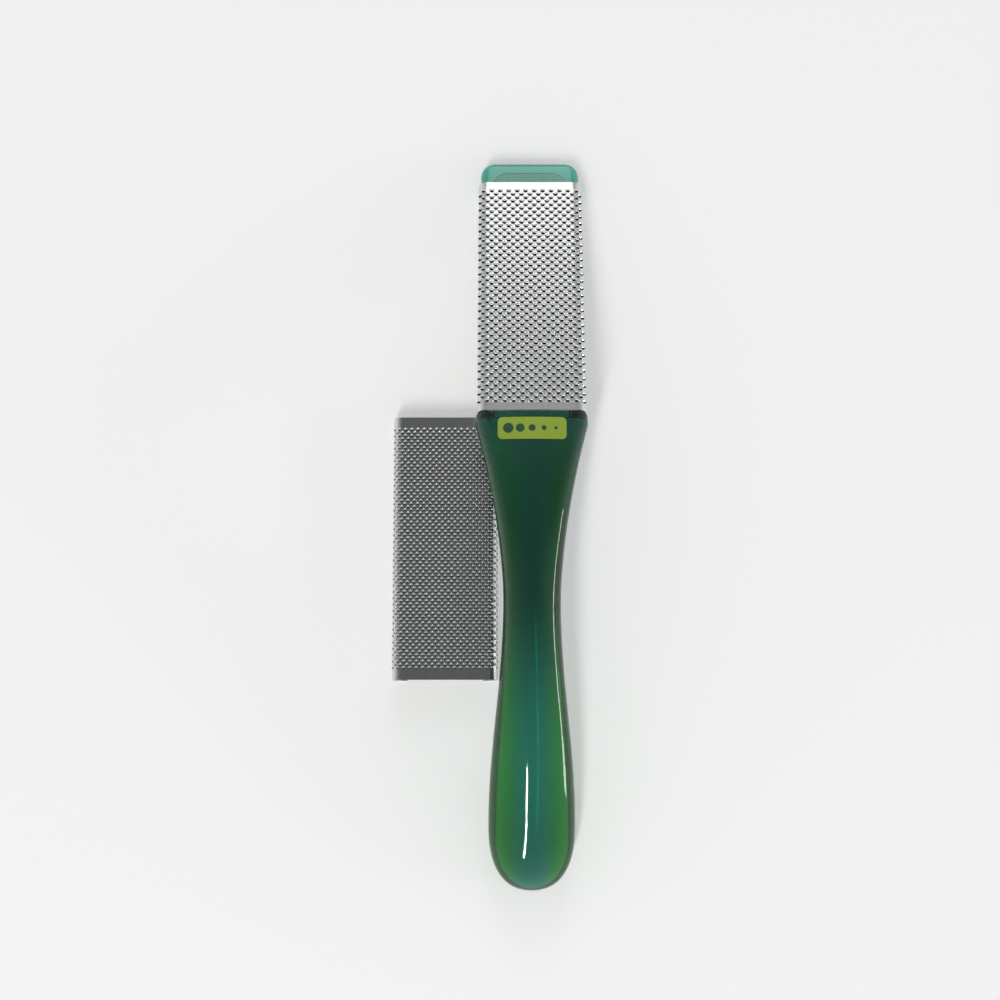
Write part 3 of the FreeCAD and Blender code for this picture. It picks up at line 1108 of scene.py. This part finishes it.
@dataclass
class GritMark:
    """A plain print on the shoulder: a yellow-green bar with dots that go from coarse to fine."""

    handle: Handle
    centre_station: float = 4.4
    width: float = 15.0
    length: float = 5.0
    corner: float = 1.0
    dots: int = 5
    largest_dot: float = 2.3
    smallest_dot: float = 0.7
    dot_spacing: float = 2.6
    film: float = 0.03
    sunk: float = 0.06
    rows: int = 4
    corner_steps: int = 6
    flat_steps: int = 12
    flat_share: float = 0.75
    dot_steps: int = 12
    smooth_angle: float = 40.0

    def strip(self, skin: Skin, columns: list[tuple[float, float]], lift: float, finish: int) -> None:
        """Lays a thin closed film on the crown.

        Args:
            skin: the mesh that it joins.
            columns: distance from the middle, and half length there, from left to right.
            lift: how far its top stands over the plastic.
            finish: number of its ink.
        """
        rows = self.rows
        top, low = [], []
        for x, half in columns:
            stations = [self.centre_station + half * (1 - 2 * k / rows) for k in range(rows + 1)]
            top.append([skin.point(*self.handle.on_crown(x, s, lift)) for s in stations])
            low.append([skin.point(*self.handle.on_crown(x, s, -self.sunk)) for s in stations])
        for i in range(len(columns) - 1):
            for k in range(rows):
                skin.face(top[i][k], top[i + 1][k], top[i + 1][k + 1], top[i][k + 1], finish=finish)
                skin.face(low[i][k + 1], low[i + 1][k + 1], low[i + 1][k], low[i][k], finish=finish)
            skin.face(low[i][0], low[i + 1][0], top[i + 1][0], top[i][0], finish=finish)
            skin.face(top[i][rows], top[i + 1][rows], low[i + 1][rows], low[i][rows], finish=finish)
        for k in range(rows):
            skin.face(low[0][k], top[0][k], top[0][k + 1], low[0][k + 1], finish=finish)
            skin.face(low[-1][k + 1], top[-1][k + 1], top[-1][k], low[-1][k], finish=finish)

    def bar(self) -> list[tuple[float, float]]:
        """Draws a bar with round corners.

        Returns:
            Its columns, each a distance from the middle and the half length there.
        """
        half_width, half_length = self.width / 2, self.length / 2
        corner = []
        for step in range(self.corner_steps + 1):
            angle = math.pi / 2 * step / self.corner_steps
            x = half_width - self.corner + self.corner * math.sin(angle)
            corner.append((x, half_length - self.corner + self.corner * math.cos(angle)))
        shares = [self.flat_share * (2 * k / self.flat_steps - 1) for k in range(self.flat_steps + 1)]
        flat = [(half_width * share, half_length) for share in shares]
        return [(-x, half) for x, half in reversed(corner)] + flat + corner

    def build(self, finishes: list[bpy.types.Material]) -> bpy.types.Object:
        """Makes the print and sets it on the handle.

        Args:
            finishes: the bar's ink and the dots'.

        Returns:
            The finished piece.
        """
        skin = Skin()
        self.strip(skin, self.bar(), self.film, 0)
        steps = self.dot_steps
        for number in range(self.dots):
            share = number / (self.dots - 1)
            radius = (self.largest_dot + (self.smallest_dot - self.largest_dot) * share) / 2
            middle = self.dot_spacing * (number - (self.dots - 1) / 2)
            angles = [math.pi * (step + 0.5) / (steps + 1) for step in range(steps + 1)]
            disc = [(middle - radius * math.cos(a), radius * math.sin(a)) for a in angles]
            self.strip(skin, disc, 2 * self.film, 1)
        piece = skin.as_object("grit_mark", self.handle.place(), self.smooth_angle)
        for finish in finishes:
            piece.data.materials.append(finish)
        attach(piece, "handle")
        return piece


@dataclass(frozen=True)
class Lamp:
    """A soft rectangular lamp: where it hangs, its width and length, and its power in watts."""

    name: str
    spot: Triple
    size: tuple[float, float]
    watts: float

    def hang(self, target: Vector) -> None:
        """Hangs the lamp so that it faces the object.

        Args:
            target: the point that it faces, in metres.
        """
        data = bpy.data.lights.new(self.name, "AREA")
        data.shape = "RECTANGLE"
        data.size, data.size_y = self.size[0] * MM, self.size[1] * MM
        data.energy = self.watts
        lamp = bpy.data.objects.new(self.name, data)
        lamp.location = Vector(self.spot) * MM
        lamp.rotation_euler = (target - lamp.location).to_track_quat("-Z", "Y").to_euler()
        bpy.context.scene.collection.objects.link(lamp)


@dataclass(frozen=True)
class Studio:
    """A pale table, soft lamps and the camera, looking down from the bulb's side."""

    target: Triple = (2.5, 4.1, 0.0)
    distance: float = 384.0
    lean: float = 8.6
    lens: float = 59.7
    sensor: float = 36.0
    nearest: float = 10.0
    floor_colour: str = "#F4F4F2"
    floor_roughness: float = 0.9
    floor_gloss: float = 0.2
    floor_glow: float = 0.3
    floor_gap: float = 0.05
    floor_radius: float = 1500.0
    floor_sides: int = 96
    world_colour: str = "#EEF2F4"
    wall_strength: float = 1.0
    ceiling_strength: float = 0.12
    lamps: tuple[Lamp, ...] = (
        Lamp("strip", (-399.0, -1186.0, 1568.0), (120.0, 780.0), 13.0),
        Lamp("tip_side", (0.0, 1907.0, 971.0), (800.0, 825.0), 5.0),
        Lamp("right_side", (1625.0, -300.0, 400.0), (500.0, 150.0), 2.6),
    )

    def camera(self) -> None:
        """Sets the camera."""
        data = bpy.data.cameras.new("camera")
        data.lens = self.lens
        data.sensor_width = self.sensor
        data.clip_start = self.nearest * MM
        camera = bpy.data.objects.new("camera", data)
        lean = math.radians(self.lean)
        target = Vector(self.target) * MM
        camera.location = target + Vector((0.0, -math.sin(lean), math.cos(lean))) * self.distance * MM
        camera.rotation_euler = (lean, 0.0, 0.0)
        bpy.context.scene.collection.objects.link(camera)
        bpy.context.scene.camera = camera

    def floor(self) -> None:
        """Lays the pale table top."""
        skin = Skin()
        radius = self.floor_radius
        angles = [2 * math.pi * side / self.floor_sides for side in range(self.floor_sides)]
        edge = [skin.point(radius * math.cos(a), radius * math.sin(a), -self.floor_gap) for a in angles]
        skin.face(*edge)
        floor = skin.as_object("floor", Matrix.Identity(4), smooth_angle=30.0)
        material, tree = new_material("paper_pale_matt")
        # The glow only pales the table as it is seen, straight, in the steel and through the plastic.
        ray = add_node(tree, "ShaderNodeLightPath")
        seen = ray.outputs["Is Camera Ray"]
        for kind in ("Is Glossy Ray", "Is Transmission Ray"):
            either = add_node(tree, "ShaderNodeMath", {0: seen, 1: ray.outputs[kind]}, operation="MAXIMUM")
            seen = either.outputs[0]
        glow = add_node(tree, "ShaderNodeMath", {0: seen, 1: self.floor_glow}, operation="MULTIPLY")
        surface = add_node(
            tree,
            "ShaderNodeBsdfPrincipled",
            {
                "Base Color": to_linear(self.floor_colour),
                "Roughness": self.floor_roughness,
                "Specular IOR Level": self.floor_gloss,
                "Emission Color": to_linear(self.floor_colour),
                "Emission Strength": glow.outputs[0],
            },
        )
        add_node(tree, "ShaderNodeOutputMaterial", {"Surface": surface.outputs[0]})
        floor.data.materials.append(material)

    def world(self) -> None:
        """Fills the room with soft light: pale walls and a dim ceiling, which the steel shows as greys."""
        world = bpy.data.worlds.new("room")
        world.use_nodes = True
        tree = world.node_tree
        tree.nodes.clear()
        where = add_node(tree, "ShaderNodeTexCoord")
        axes = add_node(tree, "ShaderNodeSeparateXYZ", {0: where.outputs["Generated"]})
        height = add_node(
            tree,
            "ShaderNodeMapRange",
            {"Value": axes.outputs["Z"], "To Min": self.wall_strength, "To Max": self.ceiling_strength},
        )
        light = add_node(
            tree,
            "ShaderNodeBackground",
            {"Color": to_linear(self.world_colour), "Strength": height.outputs[0]},
        )
        add_node(tree, "ShaderNodeOutputWorld", {"Surface": light.outputs[0]})
        bpy.context.scene.world = world

    def build(self) -> None:
        """Sets up the whole studio."""
        self.camera()
        self.floor()
        self.world()
        for lamp in self.lamps:
            lamp.hang(Vector(self.target) * MM)


def main() -> None:
    """Builds the pieces and the studio, and logs the face count of each piece."""
    logging.basicConfig(level=logging.INFO, format="%(message)s")
    bpy.context.scene.view_settings.view_transform = "Standard"
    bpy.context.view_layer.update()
    blank = PlateBlank()
    handle = Handle(blank)
    steel = [RolledSteel().material(), PunchedMouthPaintedShade().material()]
    low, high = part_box("handle")
    pieces = [handle.build(ClearPlastic(middle_line=(low.x + high.x) / 2).material())]
    inks = [
        PrintInk("ink_yellow_green_pad_printed", "#A9C03A", "#94AE34").material(),
        PrintInk("ink_dark_green_pad_printed", "#1F4A33", "#2C5A3E").material(),
    ]
    pieces.append(GritMark(handle).build(inks))
    seat = handle.place() @ Matrix.Translation((0.0, handle.seat_gap * MM, 0.0))
    pieces.append(RaspPlate("coarse_rasp_plate", "coarse_plate", Grade.COARSE, blank).build(seat, steel))
    low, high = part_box("fine_rasp_plate")
    spare = Matrix.Translation(((low.x + high.x) / 2, low.y, low.z + blank.depth / 2 * MM))
    pieces.append(RaspPlate("fine_rasp_plate", "fine_plate", Grade.FINE, blank).build(spare, steel))
    Studio().build()
    for piece in pieces:
        log.info("%s: %d faces", piece.name, len(piece.data.polygons))


if __name__ == "__main__":
    main()
